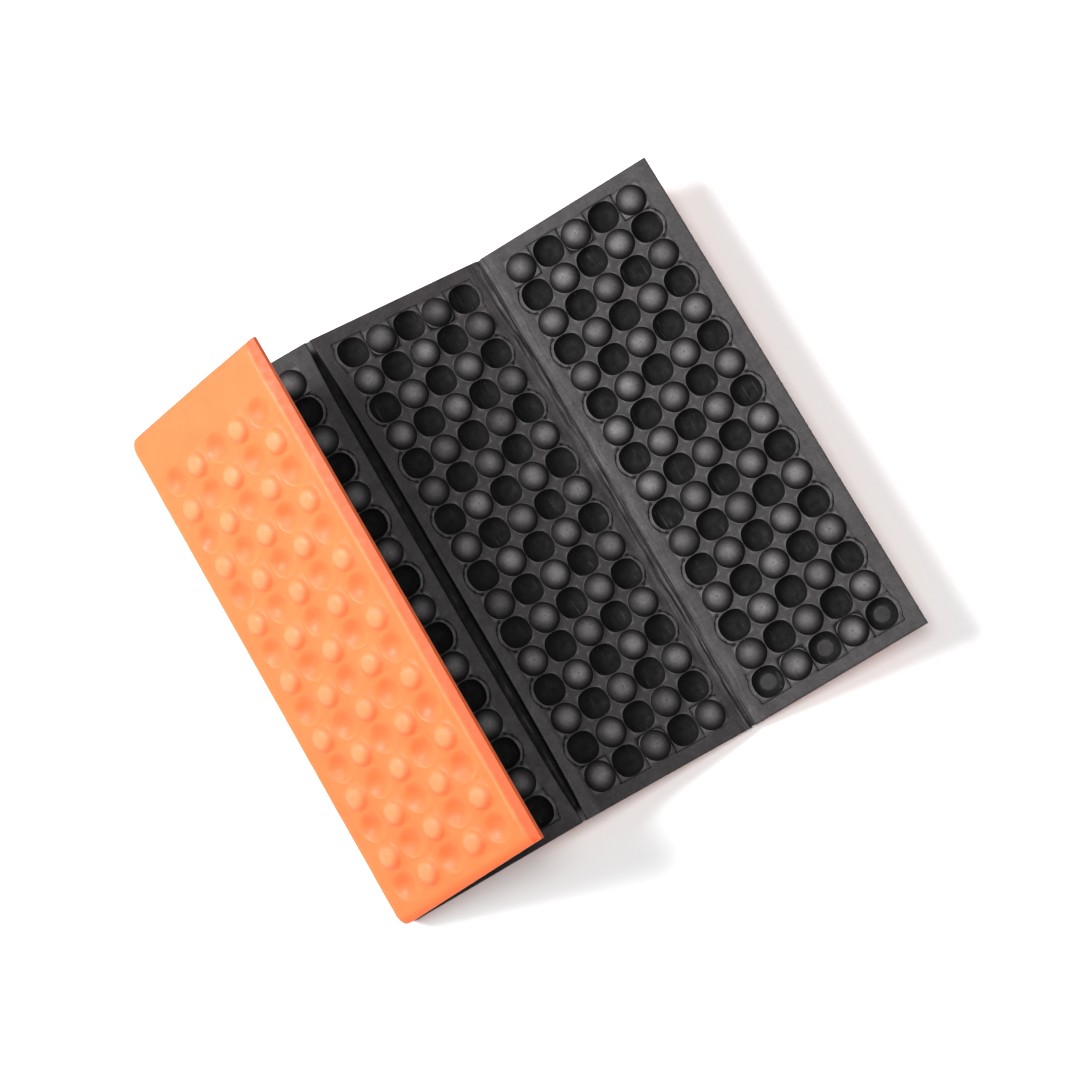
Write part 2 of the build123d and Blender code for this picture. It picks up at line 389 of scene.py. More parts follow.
def dome_outline(cell, start, sides, radii, links):
    """Flat rings from a dome to its boundary, with the outline on some sides and rays, drawn dark as
    painted shade.
    """
    on_side = np.isin(SIDE_OF_RAY, sides)
    for number, dark in enumerate((links, links | on_side)):
        radius = rounded_square(HALF_CELL - OUTLINE_RINGS[number], radii)
        radius = np.maximum(radius, start + DOME_RING_STEP * (1 + number))
        # painted shade: the outline's groove is drawn black
        cell.ring(radius, -OUTLINE_DEPTH * dark, WEB * (1 - dark))


def well_outline(cell, start, outer):
    """Flat rings from a well to its boundary; beside a long border the outline goes round it, drawn
    dark as painted shade.
    """
    across = BOUNDARY_X if RIGHT in outer else -BOUNDARY_X
    along = np.abs(BOUNDARY_Y)
    beside_long_border = np.isin(SIDE_OF_RAY, [side for side in outer if side in (RIGHT, LEFT)])
    stretch = np.where(beside_long_border, 1 + standoff(BOUNDARY_Y) / HALF_CELL, 1)
    if outer in ([RIGHT], [LEFT]):
        turning = np.minimum(across, along) > OUTLINE_TURN + CLOSE
        on_side = across > HALF_CELL - CLOSE
        at_turn = on_side & (np.abs(along - OUTLINE_TURN) < CLOSE)
        at_turn |= (along > HALF_CELL - CLOSE) & (np.abs(across - OUTLINE_TURN) < CLOSE)
        at_boundary = at_turn | on_side & (along < OUTLINE_TURN)
        cell.dark_edge = np.flatnonzero(at_boundary)
    else:
        turning = at_turn = at_boundary = np.zeros(RAYS, bool)
        cell.dark_edge = np.array(
            [(side * STEPS + k) % RAYS for side in outer for k in range(STEPS + 1)], int
        )
    plain = np.zeros(RAYS, bool)
    for number, dark in enumerate((plain, turning | at_turn, at_boundary)):
        radius = rounded_square(HALF_CELL - OUTLINE_RINGS[number], [SQUARE_CORNER] * 4)
        radius = np.maximum(radius, start + WELL_RING_STEP * (1 + number)) * stretch
        radius = np.where(turning, OUTLINE_ARC + OUTLINE_ARC_HALF * (number - 1), radius)
        # painted shade: the outline's groove is drawn black
        cell.ring(radius, -OUTLINE_DEPTH * dark, WEB * (1 - dark))


def standoff(along):
    """How far the outline beside a well leaves the cell's side, on a long border."""
    return HALF_CELL * np.maximum(OUTLINE_ARC / np.hypot(HALF_CELL, along) - 1, 0)


def outline_links(row, column):
    """Rays along which the outline round the wells above and below reaches a border dome."""
    links = np.zeros(RAYS, bool)
    if column in (0, COLUMNS - 1) and 0 < row < ROWS - 1:
        across = OUTLINE_TURN if column else -OUTLINE_TURN
        for up, neighbour in ((HALF_CELL, row - 1), (-HALF_CELL, row + 1)):
            if 0 < neighbour < ROWS - 1:
                links |= np.hypot(BOUNDARY_X - across, BOUNDARY_Y - up) < CLOSE
    return links


def shift_outline(panel, u, v):
    """Moves a long border's mesh lines with the outline's bulges round the wells."""
    row = np.clip(np.floor(ROWS / 2 - v / PITCH), 0, ROWS - 1).astype(int)
    along = v - ((ROWS - 1) / 2 - row) * PITCH
    for column, edge_u, sign in (
        (0, SIDE_MARGIN, -1),
        (COLUMNS - 1, PANEL_WIDTH - SIDE_MARGIN, 1),
    ):
        outside = (u - edge_u) * sign
        fade = np.where(outside > -CLOSE, np.clip(1 - outside / BULGE_FADE, 0, 1), 0)
        beside_well = ~panel.is_dome(row, column) & (np.abs(v) < HALF_FIELD - CLOSE)
        out = standoff(along) * fade * beside_well
        u = u + sign * out
        v = v + along * out / HALF_CELL
    return u, v


def dome_cell(rng, flat, sides, radii, links):
    """A black dome; in a label row its top is pressed flat."""
    cell = Cell()
    radius = DOME_RADIUS - DOME_SHRINK * rng.uniform()
    height = DOME_HEIGHT * (1 + SPREAD * rng.standard_normal())
    phase = rng.uniform(0, 2 * math.pi)
    lean = DOME_LEAN * rng.uniform()
    pinhole = rng.uniform() < PINHOLE_CHANCE
    # how bright this dome's painted highlight is
    crown = CROWN_HIGHLIGHT * (1 - CROWN_SPREAD * rng.uniform() ** 1.5)
    for degrees in DOME_TURNS:
        out, up = math.sin(math.radians(degrees)), math.cos(math.radians(degrees))
        z = height * up**DOME_FULLNESS
        z = z + lean * out * (1 - out) * 4 * np.cos(ANGLE - phase)
        if flat:
            z = np.minimum(z, LABEL_DOME_HEIGHT + LABEL_DOME_WAVE * np.cos(3 * ANGLE + phase) * out)
        # painted highlight on the crown, fading to painted shade down the dome's sides
        cell.ring(radius * out, z, RIM_SHADE + (crown - RIM_SHADE) * up**CROWN_FOCUS)
    for out, z, tone in DOME_FOOT:
        cell.ring(radius + out, z, tone)
    dome_outline(cell, radius + DOME_FOOT_END, sides, radii, links)
    cell.peak = min(height, LABEL_DOME_HEIGHT) if flat else height
    cell.peak_tone = crown
    if pinhole:
        cell.peak -= PINHOLE_DEPTH
        # a pinhole's middle takes the rim's painted shade
        cell.peak_tone = RIM_SHADE
    return cell


def well_cell(rng, shallow, outer):
    """A steep well in the black ply, drawn near black as painted shade; in a label row it is
    shallower, with a raised and lighter floor.
    """
    cell = Cell()
    sway_x, sway_y = WELL_SWAY * rng.standard_normal(2)
    sway = sway_x * np.cos(ANGLE) + sway_y * np.sin(ANGLE)
    mouth = WELL_RADIUS + WELL_BULGE * DIAGONAL**1.5
    mouth = mouth + MOUTH_WAVE * np.cos(ANGLE * 2 + rng.uniform(0, 6))
    depth = LABEL_WELL_DEPTH if shallow else WELL_DEPTH * (1 + SPREAD * rng.standard_normal())
    for share in WELL_SHARES:
        fall = (1 - share**WELL_FLATNESS) ** WELL_STEEPNESS
        on_raised_floor = shallow and share < RAISED_FLOOR_SHARE
        if on_raised_floor:
            z = -depth
        elif shallow:
            z = -(depth + LABEL_MOAT_DEPTH) * fall
        else:
            z = -depth * fall + 0.35 * share * (1 - share) * sway
        roundness = share**3
        radius = (WELL_RADIUS * (1 - roundness) + mouth * roundness) * share
        # painted shade: the well is drawn near black, all but a label well's raised floor
        cell.ring(radius, z, LABEL_FLOOR if on_raised_floor else WELL_SHADE)
    for out, z, tone in WELL_LIP:
        cell.ring(mouth + out, z, tone)
    well_outline(cell, mouth + WELL_LIP_END, outer)
    cell.peak = -depth
    cell.peak_tone = LABEL_FLOOR if shallow else WELL_SHADE
    return cell


def bell(radius, height, power, lean, peak_tone):
    """A soft moulded swelling with a wide fillet, for the orange side, its middle drawn in peak_tone:
    a painted highlight on a bump, painted shade in a pocket.
    """
    cell = Cell()
    for share in BELL_SHARES:
        bowl = 1 - share**2
        flank = 0.5 + 0.5 * math.cos(math.pi * share**power)
        z = height * (BOWL_SHARE * bowl + (1 - BOWL_SHARE) * flank)
        z = z + lean * share * (1 - share) * 2 * np.cos(ANGLE - 3 * lean)
        # painted highlight on a bump's top, painted shade in a pocket's middle
        cell.ring(radius * share, z, WEB + (peak_tone - WEB) * flank)
    is_pocket = height > 1
    if is_pocket:
        # the crescent is raised on one side of the rim, and lighter there as a painted highlight
        ridge = np.clip(np.cos(ANGLE - math.radians(RIDGE_TURN) - 3 * lean), 0, 1) ** 8
        cell.height[-2] = cell.height[-2] - RIDGE_HEIGHT * ridge
        cell.tone[-2] = cell.tone[-2] + RIDGE_HIGHLIGHT_TONE * ridge
    cell.peak = height
    cell.peak_tone = peak_tone
    return cell


def bond_cell(height, radius):
    """The bonded surface between the plies: a plain rounded swelling."""
    cell = Cell()
    for degrees in BOND_TURNS:
        turn = math.radians(degrees)
        cell.ring(radius * math.sin(turn), height * math.cos(turn), WEB)
    cell.peak = height
    cell.peak_tone = WEB
    return cell


# ---- sheets: a grid of border quads with a ringed cell in every square --------------------
def cell_corners(row, column):
    """Radii of the outline at a border dome's corners: round only where it faces the field."""
    in_corner = row in (0, ROWS - 1) and column in (0, COLUMNS - 1)
    inner, outer = (FIELD_CORNER if in_corner else FACING_CORNER), SQUARE_CORNER
    right, left = column < COLUMNS - 1, column > 0
    up, down = row > 0, row < ROWS - 1
    ends = [(right, up), (left, up), (left, down), (right, down)]
    return [inner if across and along else outer for across, along in ends]


def outer_sides(row, column):
    """Which sides of a cell face the border."""
    facing = {RIGHT: column == COLUMNS - 1, UP: row == 0, LEFT: column == 0, DOWN: row == ROWS - 1}
    return [side for side, at_border in facing.items() if at_border]


def black_cells(panel):
    """Random draws follow the order of the rows and columns."""
    rng = np.random.default_rng(panel.seed)
    cells = {}
    for row in range(ROWS):
        label = row == panel.label_row
        for column in range(COLUMNS):
            outer = outer_sides(row, column)
            if panel.is_dome(row, column):
                inner = [side for side in range(4) if side not in outer]
                sides = inner if row in (0, ROWS - 1) else []
                corners, links = cell_corners(row, column), outline_links(row, column)
                cells[row, column] = dome_cell(rng, label, sides, corners, links)
            else:
                cells[row, column] = well_cell(rng, label, outer)
    return cells


def orange_cells(panel):
    """Heights are towards the black side: a bump hangs down, a pocket goes up."""
    rng = np.random.default_rng(panel.seed + 1)
    column_at_groove = {"b": COLUMNS - 1, "c": 0}.get(panel.key)
    cells = {}
    for row in range(ROWS):
        for column in range(COLUMNS):
            lean = BELL_LEAN * rng.standard_normal()
            swell = 1 - BELL_SPREAD * rng.uniform()
            if row == panel.label_row:
                cell = bell(POCKET_RADIUS, LABEL_SWELL * lean, WIDE_BELL, 0, WEB)
            elif not panel.is_dome(row, column):
                cell = bell(BUMP_RADIUS, -BUMP_HEIGHT * swell, BUMP_BELL, lean, CROWN_HIGHLIGHT)
            elif column == column_at_groove:
                cell = bell(POCKET_RADIUS, GROOVE_POCKET_DEPTH, WIDE_BELL, lean, POCKET_SHADE)
            else:
                cell = bell(POCKET_RADIUS, POCKET_DEPTH * swell, POCKET_BELL, lean, POCKET_SHADE)
            cells[row, column] = cell
    return cells


def bond_cells(panel):
    cells = {}
    for row in range(ROWS):
        drop = LABEL_BOND_DROP if row == panel.label_row else BOND_DROP
        for column in range(COLUMNS):
            if panel.is_dome(row, column):
                cells[row, column] = bond_cell(BOND_RISE, BOND_RADIUS_DOME)
            else:
                cells[row, column] = bond_cell(-drop, BOND_RADIUS_WELL)
    return cells


class Sheet:
    """One side of a ply over a whole panel."""

    def __init__(self, panel, cells, level, outlined=False):
        u, v, self.i0, self.j0 = grid_lines(panel)
        i1, j1 = self.i0 + COLUMNS * STEPS, self.j0 + ROWS * STEPS
        i, j = np.meshgrid(np.arange(len(u)), np.arange(len(v)), indexing="ij")
        in_core = (i >= self.i0) & (i <= i1) & (j >= self.j0) & (j <= j1)
        on_line = ((i - self.i0) % STEPS == 0) | ((j - self.j0) % STEPS == 0)
        kept = ~in_core | on_line
        self.index = np.full(kept.shape, -1)
        self.index[kept] = np.arange(kept.sum())
        flat_u, flat_v = u[i[kept]], v[j[kept]]
        if outlined:
            flat_u, flat_v = shift_outline(panel, flat_u, flat_v)
        self.points = [np.stack([flat_u, flat_v, np.full(kept.sum(), level)], 1)]
        self.tones = [np.full(kept.sum(), WEB)]
        a, b = np.meshgrid(np.arange(len(u) - 1), np.arange(len(v) - 1), indexing="ij")
        border = ~((a >= self.i0) & (a < i1) & (b >= self.j0) & (b < j1))
        a, b = a[border], b[border]
        n = self.index
        self.quads = [np.stack([n[a, b], n[a + 1, b], n[a + 1, b + 1], n[a, b + 1]], 1)]
        self.triangles = []
        self.count = int(kept.sum())
        for (row, column), cell in cells.items():
            self.add_cell(row, column, cell, level)
        self.points = np.concatenate(self.points)
        self.tones = np.concatenate(self.tones)
        self.quads = np.concatenate(self.quads)
        self.triangles = np.concatenate(self.triangles)
        self.rim = rim_loop(self.index)

    def add_cell(self, row, column, cell, level):
        i = self.i0 + column * STEPS
        j = self.j0 + (ROWS - 1 - row) * STEPS
        steps = np.arange(STEPS)
        at = (
            [(i + STEPS, j + k) for k in steps]
            + [(i + STEPS - k, j + STEPS) for k in steps]
            + [(i, j + STEPS - k) for k in steps]
            + [(i + k, j) for k in steps]
        )
        edge = np.array([self.index[a, b] for a, b in at])
        u = SIDE_MARGIN + (column + 0.5) * PITCH
        v = ((ROWS - 1) / 2 - row) * PITCH
        # painted shade: the outline's groove is drawn black at these boundary points
        dark = edge[cell.dark_edge]
        self.points[0][dark, 2] = level - OUTLINE_DEPTH
        self.tones[0][dark] = 0
        rings = len(cell.radius)
        radius = np.stack(cell.radius)
        block = np.stack(
            [
                u + radius * np.cos(ANGLE),
                v + radius * np.sin(ANGLE),
                level + np.stack(cell.height),
            ],
            2,
        ).reshape(-1, 3)
        first = self.count
        ids = first + np.arange(rings * RAYS).reshape(rings, RAYS)
        ids = np.concatenate([ids, edge[None]])
        following = np.roll(ids, -1, axis=1)
        quads = np.stack([ids[:-1], ids[1:], following[1:], following[:-1]], 2)
        centre = first + rings * RAYS
        self.quads.append(quads.reshape(-1, 4))
        fan = np.stack([np.full(RAYS, centre), ids[0], following[0]], 1)
        self.triangles.append(fan)
        self.points.append(block)
        self.points.append(np.array([[u, v, level + cell.peak]]))
        self.tones.append(np.stack(cell.tone).ravel())
        self.tones.append(np.array([cell.peak_tone]))
        self.count += rings * RAYS + 1


def rim_loop(n):
    """The outer vertices of a grid of vertices, anticlockwise."""
    return np.concatenate([n[:, 0], n[-1, 1:], n[-2::-1, -1], n[0, -2:0:-1]])


def edge_distances(panel, points):
    """Distance to the short ends and to the free, slit and groove long edges, if it has them."""
    u, v = points[:, 0], points[:, 1]
    distances = {"end": HALF_LENGTH - np.abs(v)}
    left = u - EDGE_INSET[LEFT_EDGE[panel.key]]
    right = PANEL_WIDTH - EDGE_INSET[RIGHT_EDGE[panel.key]] - u
    for kind in ("free", "slit", "groove"):
        at_left = left if LEFT_EDGE[panel.key] == kind else FAR + u * 0
        at_right = right if RIGHT_EDGE[panel.key] == kind else FAR + u * 0
        distances[kind] = np.minimum(at_left, at_right)
    return distances


def bend_bond(panel, points):
    """Takes the bonded surface up or down towards the panel's edges."""
    near = edge_distances(panel, points)
    outer = np.minimum(near["end"], near["free"])
    at_edge = BOND_AT_FREE_EDGE_A if panel.key == "a" else BOND_AT_FREE_EDGE
    lift = np.zeros(len(points))
    for distance, edge_lift in (
        (near["groove"], BOND_AT_GROOVE),
        (near["slit"], BOND_AT_SLIT),
        (outer, at_edge),
    ):
        lift += (edge_lift - lift) * smooth_step(distance, *BOND_TURN)
    points[:, 2] += lift


def draw_in(panel, points):
    """Draws a sheet in from the panel's free edges, within a narrow band along them."""
    near = edge_distances(panel, points)
    toward_middle = np.sign(PANEL_WIDTH / 2 - points[:, 0])
    points[:, 0] += toward_middle * WRAP_INSET * np.clip(1 - near["free"] / WRAP_FADE, 0, 1)
    points[:, 1] -= np.sign(points[:, 1]) * WRAP_INSET * np.clip(1 - near["end"] / WRAP_FADE, 0, 1)


def groove_shape(v):
    """Half width of the bc groove's mouth: a long lens that closes near both ends."""
    t = np.clip(np.abs(v) / (HALF_LENGTH - GROOVE_END), 0, 1)
    belly = (1 - t**4) ** 0.7
    return GROOVE_HALF_END + (GROOVE_HALF_MIDDLE - GROOVE_HALF_END) * belly


def open_groove(panel, points, share):
    """Moves a panel's wall at crease bc back to the groove's own outline."""
    u, v = points[:, 0], points[:, 1]
    for edge, sign, start in ((LEFT_EDGE, 1, 0.0), (RIGHT_EDGE, -1, PANEL_WIDTH)):
        if edge[panel.key] == "groove":
            distance = sign * (u - start) - GROOVE_HALF_END
            fade = np.clip(1 - distance / GROOVE_FADE, 0, 1)
            points[:, 0] += sign * (groove_shape(v) - GROOVE_HALF_END) * fade * share


def finish_black_face(panel, sheet):
    """Rounded cut edges, wrinkled and lighter bands at the creases, painted shade on the groove's
    walls, and a faint unevenness.
    """
    p, seed = sheet.points, panel.seed
    u, v = p[:, 0], p[:, 1]
    near = edge_distances(panel, p)
    slit, groove = near["slit"], near["groove"]
    outer = np.minimum(near["end"], near["free"])
    in_border = (
        (u < SIDE_MARGIN - CLOSE)
        | (u > PANEL_WIDTH - SIDE_MARGIN + CLOSE)
        | (np.abs(v) > HALF_FIELD + CLOSE)
    )
    p[:, 2] -= CUT_EDGE_ROLL * np.clip(1 - outer / CUT_EDGE_WIDTH, 0, 1) ** 2 * in_border
    p[:, 2] -= GROOVE_EDGE_ROLL * np.clip(1 - groove / CUT_EDGE_WIDTH, 0, 1) * in_border
    band = np.clip(1 - slit / BAND_WIDTH, 0, 1) * in_border
    if panel.key == "c":
        # panel c is lighter beside the groove, more towards the low end of v
        lighter_below = smooth_step(-v, -80.0, 110.0) * smooth_step(groove, 9.0, 6.0)
        sheet.tones += GROOVE_SIDE_TONE * in_border * lighter_below
    if panel.key == "d":
        band = FAINT_BAND * band
        sheet.tones += BORDER_TONE_AT_CREASE * in_border * np.clip(1.3 - slit / BAND_WIDTH, 0, 1)
        sheet.tones += BORDER_TONE * in_border * np.clip(slit / BAND_WIDTH - 1, 0, 1)
    wander = u + 0.9 * noise(v / 17, v * 0, seed) + 0.4 * noise(v / 5, v * 0, seed + 1)
    streaks = noise(wander / 0.7, v / 22, seed + 3) + 0.7 * noise(wander / 1.3, v / 8, seed)
    depth = STREAK_DEPTH * (np.minimum(streaks, STREAK_LIMIT) - STREAK_LIMIT)
    p[:, 2] += band * depth - BAND_DEPTH * band
    sheet.tones += np.where(in_border, STREAK_TONE * band * streaks, 0)
    # painted shade: the groove's walls are drawn near black
    sheet.tones *= smooth_step(groove, 0.0, WALL_SHADE_EDGE)
    ripple = noise(u / 11, v / 13, seed + 4) + 0.5 * noise(u / 4.2, v / 4.9, seed + 5)
    from_hinge = smooth_step(slit, 0.0, RIPPLE_FADE)
    ripple -= 0.8 * (1 - from_hinge)
    p[:, 2] += RIPPLE_HEIGHT * ripple * (0.15 + 0.85 * from_hinge)
    p[:, 2] += GRAIN_HEIGHT * noise(u / 1.6, v / 1.9, seed + 6)


def finish_orange_face(panel, sheet):
    """Bevels with a lip lighter as a painted highlight, rolled ends and slit edges, and a gentle
    swell; bevels and rolled ends are darkened with painted shade.
    """
    p, seed = sheet.points, panel.seed
    u, v = p[:, 0], p[:, 1]
    near = edge_distances(panel, p)
    free, end = near["free"], near["end"]
    width = BEVEL_WIDTH + BEVEL_WAVE * noise(u / 30 + v / 23, u * 0, seed + 2)
    slope = np.clip(1 - free / width, 0, 1)
    roll = np.clip(1 - end / END_ROLL_WIDTH, 0, 1)
    p[:, 2] += np.maximum(BEVEL_RISE * slope ** 1.15, END_ROLL_RISE * roll**2)
    p[:, 2] += SLIT_ROLL_RISE * np.clip(1 - near["slit"] / SLIT_ROLL_WIDTH, 0, 1) ** 2
    lip = np.exp(-(((free - width - 0.5) / LIP_WIDTH) ** 2)) * np.clip(end / 6 - 0.7, 0, 1)
    p[:, 2] -= LIP_HEIGHT * lip
    # painted highlight along the lip
    sheet.tones += LIP_HIGHLIGHT_TONE * lip
    # painted shade on the bevels and rolled ends
    sheet.tones -= BEVEL_SHADE_TONE * smooth_step(slope, 0.0, 0.25) + END_ROLL_SHADE_TONE * roll
    from_hinge = smooth_step(near["groove"], 0.0, SWELL_FADE)
    swell = SWELL_HEIGHT * noise(u / 9, v / 10, seed + 4)
    swell += FINE_SWELL_HEIGHT * noise(u / 3.1, v / 3.3, seed + 5)
    p[:, 2] += swell * (0.2 + 0.8 * from_hinge) + LIFT_AT_GROOVE * (1 - from_hinge)


# ---- meshes -----------------------------------------------------------------------------
def make_mesh(name, points, quads, triangles, tones):
    mesh = bpy.data.meshes.new(name)
    loops = np.concatenate([quads.ravel(), triangles.ravel()]).astype(np.int32)
    sizes = np.concatenate([np.full(len(quads), 4), np.full(len(triangles), 3)])
    starts = np.concatenate([[0], np.cumsum(sizes)[:-1]]).astype(np.int32)
    mesh.vertices.add(len(points))
    mesh.vertices.foreach_set("co", points.astype(np.float32).ravel())
    mesh.loops.add(len(loops))
    mesh.loops.foreach_set("vertex_index", loops)
    mesh.polygons.add(len(sizes))
    mesh.polygons.foreach_set("loop_start", starts)
    mesh.update(calc_edges=True)
    mesh.validate()
    mesh.polygons.foreach_set("use_smooth", np.ones(len(sizes), bool))
    mesh.set_sharp_from_angle(angle=math.radians(SHARP_ANGLE))
    tone = mesh.attributes.new("tone", "FLOAT", "POINT")
    tone.data.foreach_set("value", np.clip(tones, 0, 1.3).astype(np.float32))
    piece = bpy.data.objects.new(name, mesh)
    bpy.context.scene.collection.objects.link(piece)
    return piece


def closed_ply(name, panel, upper, lower):
    """Joins two sheets on the same grid lines into one closed ply."""
    shift = len(upper.points)
    over, under = upper.rim, lower.rim + shift
    walls = np.stack([under, np.roll(under, -1), np.roll(over, -1), over], 1)
    points = panel.place(np.concatenate([upper.points, lower.points]))
    quads = np.concatenate([upper.quads, lower.quads[:, ::-1] + shift, walls])
    triangles = np.concatenate([upper.triangles, lower.triangles[:, ::-1] + shift])
    tones = np.concatenate([upper.tones, lower.tones])
    return make_mesh(name, points, quads, triangles, tones)


def black_ply(panel):
    upper = Sheet(panel, black_cells(panel), TOP, outlined=True)
    finish_black_face(panel, upper)
    lower = Sheet(panel, bond_cells(panel), BOND_GAP / 2)
    # painted shade on the groove's walls of the bonded side
    lower.tones *= smooth_step(edge_distances(panel, lower.points)["groove"], 0.0, WALL_SHADE_EDGE)
    bend_bond(panel, lower.points)
    for sheet, share in ((upper, GROOVE_SHARES["black face"]), (lower, GROOVE_SHARES["bond"])):
        if panel.key == "a":
            draw_in(panel, sheet.points)
        open_groove(panel, sheet.points, share)
    return closed_ply(f"{panel.body}_black_foam_skin", panel, upper, lower)


def orange_ply(panel):
    upper = Sheet(panel, bond_cells(panel), -BOND_GAP / 2)
    lower = Sheet(panel, orange_cells(panel), BOTTOM)
    finish_orange_face(panel, lower)
    bend_bond(panel, upper.points)
    for sheet, share in ((upper, GROOVE_SHARES["bond"]), (lower, GROOVE_SHARES["orange face"])):
        if panel.key != "a":
            draw_in(panel, sheet.points)
        open_groove(panel, sheet.points, share)
    return closed_ply(f"{panel.body}_orange_foam_skin", panel, upper, lower)


# ---- materials --------------------------------------------------------------------------
MIX_FACTOR, MIX_FIRST, MIX_SECOND, MIX_RESULT = 0, 6, 7, 2      # the colour mix node's sockets

# Base colour for each tone, from painted shade at the low end to a painted highlight at the top.
BLACK_TONES = [
    (0.0, (0.0019, 0.0016, 0.0017)),
    (0.25, (0.0044, 0.0036, 0.004)),
    (0.5, (0.03, 0.0263, 0.0278)),
    (1.0, (0.112, 0.107, 0.109)),
]
ORANGE_TONES = [
    (0.0, (0.56, 0.075, 0.016)),
    (0.25, (0.6, 0.098, 0.026)),
    (0.5, (0.64, 0.134, 0.037)),
    (1.0, (0.68, 0.182, 0.072)),
]
SCUFF_COLOUR = (0.07, 0.07, 0.07)


class Shader:
    """A small helper around one material's node tree."""

    def __init__(self, name):
        self.material = bpy.data.materials.new(name)
        self.material.use_nodes = True
        self.tree = self.material.node_tree
        self.surface = self.tree.nodes["Principled BSDF"]

    def node(self, kind, **settings):
        made = self.tree.nodes.new(kind)
        for key, value in settings.items():
            setattr(made, key, value)
        return made

    def link(self, output, target):
        self.tree.links.new(output, target)

    def noise(self, scale, detail, roughness=0.55, vector=None):
        made = self.node("ShaderNodeTexNoise")
        made.inputs["Scale"].default_value = scale
        made.inputs["Detail"].default_value = detail
        made.inputs["Roughness"].default_value = roughness
        self.link(vector or self.coordinates(), made.inputs["Vector"])
        return made.outputs["Fac"]

    def coordinates(self):
        return self.node("ShaderNodeTexCoord").outputs["Object"]

    def stretched(self, scale):
        made = self.node("ShaderNodeMapping")
        made.inputs["Scale"].default_value = scale
        self.link(self.coordinates(), made.inputs["Vector"])
        return made.outputs["Vector"]

    def ramp(self, factor, stops):
        made = self.node("ShaderNodeValToRGB")
        ramp = made.color_ramp
        while len(ramp.elements) < len(stops):
            ramp.elements.new(0.5)
        for element, (position, colour) in zip(ramp.elements, stops):
            element.position = position
            element.color = (*colour, 1)
        self.link(factor, made.inputs["Fac"])
        return made.outputs["Color"]

    def mix(self, factor, a, b, mode="MIX"):
        made = self.node("ShaderNodeMix", data_type="RGBA", blend_type=mode)
        for socket, value in ((MIX_FACTOR, factor), (MIX_FIRST, a), (MIX_SECOND, b)):
            if isinstance(value, (int, float)):
                made.inputs[socket].default_value = value
            elif isinstance(value, tuple):
                made.inputs[socket].default_value = (*value, 1)
            else:
                self.link(value, made.inputs[socket])
        return made.outputs[MIX_RESULT]

    def fit(self, value, low, high, new_low, new_high):
        made = self.node("ShaderNodeMapRange")
        ends = {"From Min": low, "From Max": high, "To Min": new_low, "To Max": new_high}
        for key, number in ends.items():
            made.inputs[key].default_value = number
        self.link(value, made.inputs["Value"])
        return made.outputs["Result"]

    def bump(self, height, distance, strength, before=None):
        made = self.node("ShaderNodeBump")
        made.inputs["Distance"].default_value = distance
        made.inputs["Strength"].default_value = strength
        self.link(height, made.inputs["Height"])
        if before is not None:
            self.link(before, made.inputs["Normal"])
        return made.outputs["Normal"]

    def tone(self):
        made = self.node("ShaderNodeAttribute", attribute_name="tone")
        return made.outputs["Fac"]


def black_foam_material():
    s = Shader("black_foam_skin")
    tone = s.tone()
    base = s.ramp(tone, BLACK_TONES)
    cloud = s.ramp(s.noise(120, 5), [(0.3, (0.75, 0.75, 0.75)), (0.72, (1.25, 1.24, 1.23))])
    base = s.mix(1.0, base, cloud, "MULTIPLY")
    mottle = s.ramp(s.noise(750, 5, 0.7), [(0.32, (0.74, 0.74, 0.74)), (0.7, (1.26, 1.28, 1.26))])
    base = s.mix(1.0, base, mottle, "MULTIPLY")
    scuff = s.noise(1.0, 4, vector=s.stretched((900, 60, 300)))
    base = s.mix(s.fit(scuff, 0.62, 0.74, 0, 0.3), base, SCUFF_COLOUR)
    s.link(base, s.surface.inputs["Base Color"])
    rough = s.node("ShaderNodeMath", operation="MULTIPLY")
    s.link(s.fit(tone, 0.0, 1.0, 0.8, 0.46), rough.inputs[0])
    s.link(s.fit(s.noise(260, 3), 0.3, 0.7, 0.85, 1.15), rough.inputs[1])
    s.link(rough.outputs[0], s.surface.inputs["Roughness"])
    fine = s.bump(s.noise(2600, 3), 0.00004, 0.6)
    s.link(s.bump(s.noise(520, 3), 0.00014, 0.55, fine), s.surface.inputs["Normal"])
    s.surface.inputs["Specular IOR Level"].default_value = 0.2
    return s.material


def orange_foam_material():
    s = Shader("orange_foam_skin")
    base = s.ramp(s.tone(), ORANGE_TONES)
    cloud = s.ramp(s.noise(60, 4), [(0.3, (0.94, 0.9, 0.86)), (0.7, (1.0, 1.0, 1.0))])
    base = s.mix(1.0, base, cloud, "MULTIPLY")
    s.link(base, s.surface.inputs["Base Color"])
    s.link(s.fit(s.noise(300, 3), 0.3, 0.7, 0.42, 0.62), s.surface.inputs["Roughness"])
    fine = s.bump(s.noise(2200, 3), 0.00004, 0.5)
    s.link(s.bump(s.noise(350, 2), 0.00015, 0.4, fine), s.surface.inputs["Normal"])
    s.surface.inputs["Subsurface Weight"].default_value = 0.25
    s.surface.inputs["Subsurface Radius"].default_value = (1.0, 0.35, 0.12)
    s.surface.inputs["Subsurface Scale"].default_value = 0.002
    s.surface.inputs["Specular IOR Level"].default_value = 0.25
    return s.material


BLACK = black_foam_material()
ORANGE = orange_foam_material()


